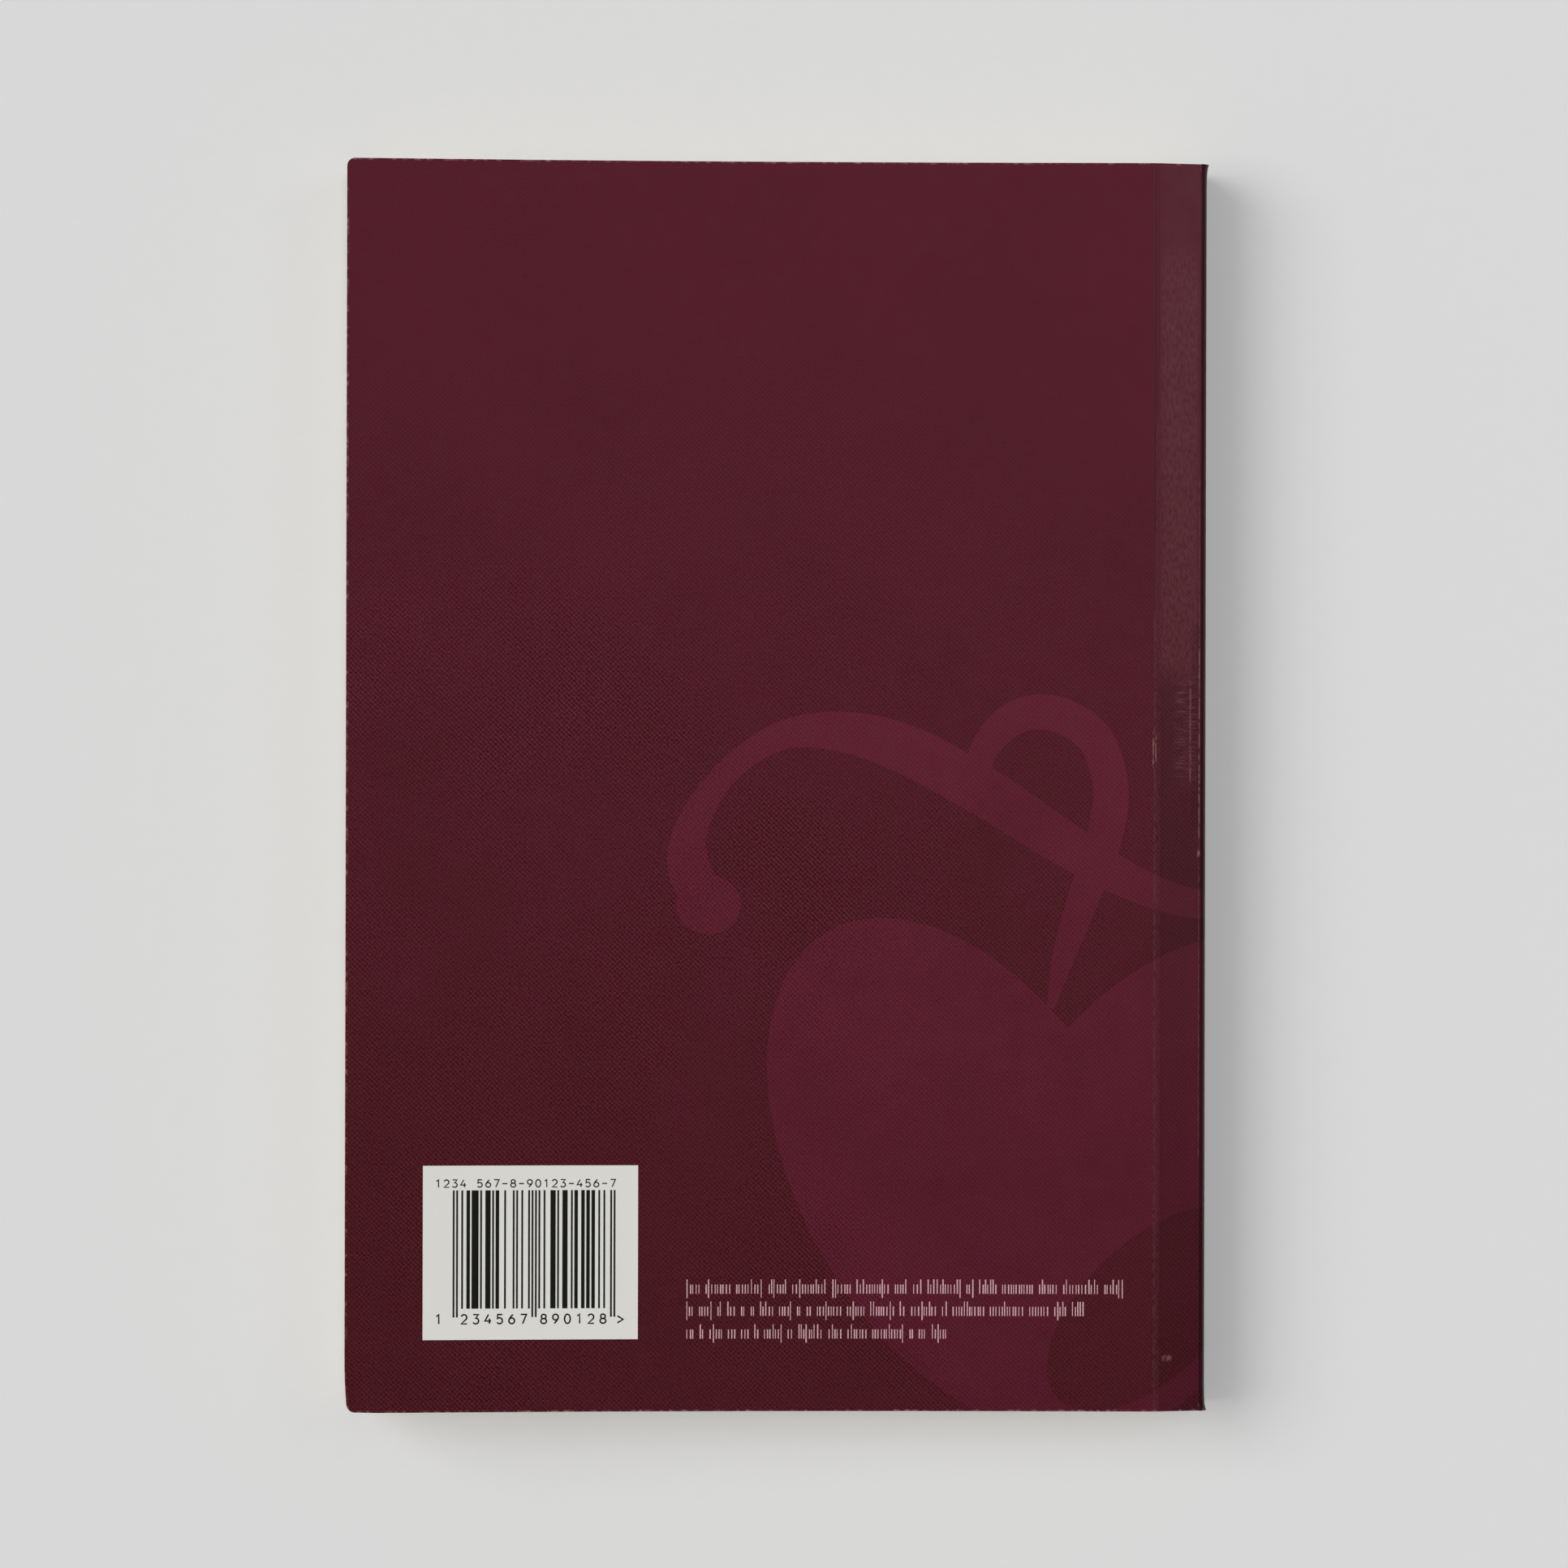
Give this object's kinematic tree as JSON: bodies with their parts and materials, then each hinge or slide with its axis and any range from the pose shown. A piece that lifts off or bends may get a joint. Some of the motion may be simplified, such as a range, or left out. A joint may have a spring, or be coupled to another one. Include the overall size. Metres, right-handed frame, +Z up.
{
  "type": "prayer book",
  "caption": "Closed paperback book lying face down, with hinged card covers, adhesive-bound sections of leaves, a flexing spine and leaves that turn where it opens.",
  "frame": {"origin": "middle of the closed book's footprint, on the surface it lies on", "axes": "+X towards the spine, +Y towards the head, +Z up through the back cover; the front cover is underneath"},
  "size_m": [0.1396, 0.2032, 0.0198],
  "materials": {
    "cover_card": "satin laminated burgundy card",
    "page_paper": "uncoated cream book paper",
    "binding_glue": "hot-melt binding glue"
  },
  "bodies": {
    "section_1": {"section_1": "page_paper", "spine_glue_1": "binding_glue", "front_hinge_strip": "cover_card", "front_side_glue": "binding_glue"},
    "section_2": {"section_2": "page_paper", "spine_glue_2": "binding_glue", "spine_strip_2": "cover_card"},
    "section_3": {"section_3": "page_paper", "spine_glue_3": "binding_glue", "spine_strip_3": "cover_card"},
    "section_4": {"section_4": "page_paper", "spine_glue_4": "binding_glue", "spine_strip_4": "cover_card"},
    "section_5": {"section_5": "page_paper", "spine_glue_5": "binding_glue", "spine_strip_5": "cover_card"},
    "section_6": {"section_6": "page_paper", "spine_glue_6": "binding_glue", "spine_strip_6": "cover_card"},
    "section_7": {"section_7": "page_paper", "spine_glue_7": "binding_glue", "spine_strip_7": "cover_card"},
    "section_8": {"section_8": "page_paper", "spine_glue_8": "binding_glue", "back_hinge_strip": "cover_card", "back_side_glue": "binding_glue"},
    "front_cover": {"front_cover": "cover_card"},
    "back_cover": {"back_cover": "cover_card"},
    "front_flyleaf": {"front_flyleaf": "page_paper"},
    "back_flyleaf": {"back_flyleaf": "page_paper"},
    "middle_leaf_1": {"middle_leaf_1": "page_paper"},
    "middle_leaf_2": {"middle_leaf_2": "page_paper"},
    "middle_leaf_3": {"middle_leaf_3": "page_paper"}
  },
  "joints": [
    {"name": "front_cover_hinge", "type": "hinge", "parent": "section_1", "child": "front_cover", "pos_m": [0.0615, 0, -0.00005], "axis": [0, 1, 0], "range_deg": [-172, 0]},
    {"name": "front_flyleaf_turn", "type": "hinge", "parent": "section_1", "child": "front_flyleaf", "pos_m": [0.0615, 0, 0.00051], "axis": [0, 1, 0], "range_deg": [-86, 0]},
    {"name": "spine_flex_1", "type": "hinge", "parent": "section_1", "child": "section_2", "pos_m": [0.06904, 0, 0.00215], "axis": [0, 1, 0], "range_deg": [0, 7]},
    {"name": "spine_flex_2", "type": "hinge", "parent": "section_2", "child": "section_3", "pos_m": [0.06983, 0, 0.00388], "axis": [0, 1, 0], "range_deg": [0, 7]},
    {"name": "spine_flex_3", "type": "hinge", "parent": "section_3", "child": "section_4", "pos_m": [0.06985, 0, 0.00562], "axis": [0, 1, 0], "range_deg": [0, 7]},
    {"name": "open_middle", "type": "hinge", "parent": "section_4", "child": "section_5", "pos_m": [0.06985, 0, 0.00724], "axis": [0, 1, 0], "range_deg": [0, 132]},
    {"name": "spine_flex_5", "type": "hinge", "parent": "section_5", "child": "section_6", "pos_m": [0.06985, 0, 0.00923], "axis": [0, 1, 0], "range_deg": [0, 7]},
    {"name": "spine_flex_6", "type": "hinge", "parent": "section_6", "child": "section_7", "pos_m": [0.06983, 0, 0.01095], "axis": [0, 1, 0], "range_deg": [0, 7]},
    {"name": "spine_flex_7", "type": "hinge", "parent": "section_7", "child": "section_8", "pos_m": [0.06904, 0, 0.01269], "axis": [0, 1, 0], "range_deg": [0, 7]},
    {"name": "middle_leaf_1_turn", "type": "hinge", "parent": "section_4", "child": "middle_leaf_1", "pos_m": [0.06875, 0, 0.00726], "axis": [0, 1, 0], "range_deg": [0, 33]},
    {"name": "middle_leaf_2_turn", "type": "hinge", "parent": "section_4", "child": "middle_leaf_2", "pos_m": [0.06875, 0, 0.00742], "axis": [0, 1, 0], "range_deg": [0, 66]},
    {"name": "middle_leaf_3_turn", "type": "hinge", "parent": "section_4", "child": "middle_leaf_3", "pos_m": [0.06875, 0, 0.00758], "axis": [0, 1, 0], "range_deg": [0, 99]},
    {"name": "back_flyleaf_turn", "type": "hinge", "parent": "section_8", "child": "back_flyleaf", "pos_m": [0.0615, 0, 0.01434], "axis": [0, 1, 0], "range_deg": [0, 86]},
    {"name": "back_cover_hinge", "type": "hinge", "parent": "section_8", "child": "back_cover", "pos_m": [0.0615, 0, 0.01489], "axis": [0, 1, 0], "range_deg": [0, 172]}
  ],
  "couplings": [
    {"joint": "front_flyleaf_turn", "follows": "front_cover_hinge", "ratio": 0.5},
    {"joint": "back_flyleaf_turn", "follows": "back_cover_hinge", "ratio": 0.5},
    {"joint": "spine_flex_2", "follows": "spine_flex_1", "ratio": 1},
    {"joint": "spine_flex_3", "follows": "spine_flex_1", "ratio": 1},
    {"joint": "spine_flex_6", "follows": "spine_flex_5", "ratio": 1},
    {"joint": "spine_flex_7", "follows": "spine_flex_5", "ratio": 1},
    {"joint": "middle_leaf_1_turn", "follows": "open_middle", "ratio": 0.25},
    {"joint": "middle_leaf_2_turn", "follows": "open_middle", "ratio": 0.5},
    {"joint": "middle_leaf_3_turn", "follows": "open_middle", "ratio": 0.75}
  ]
}
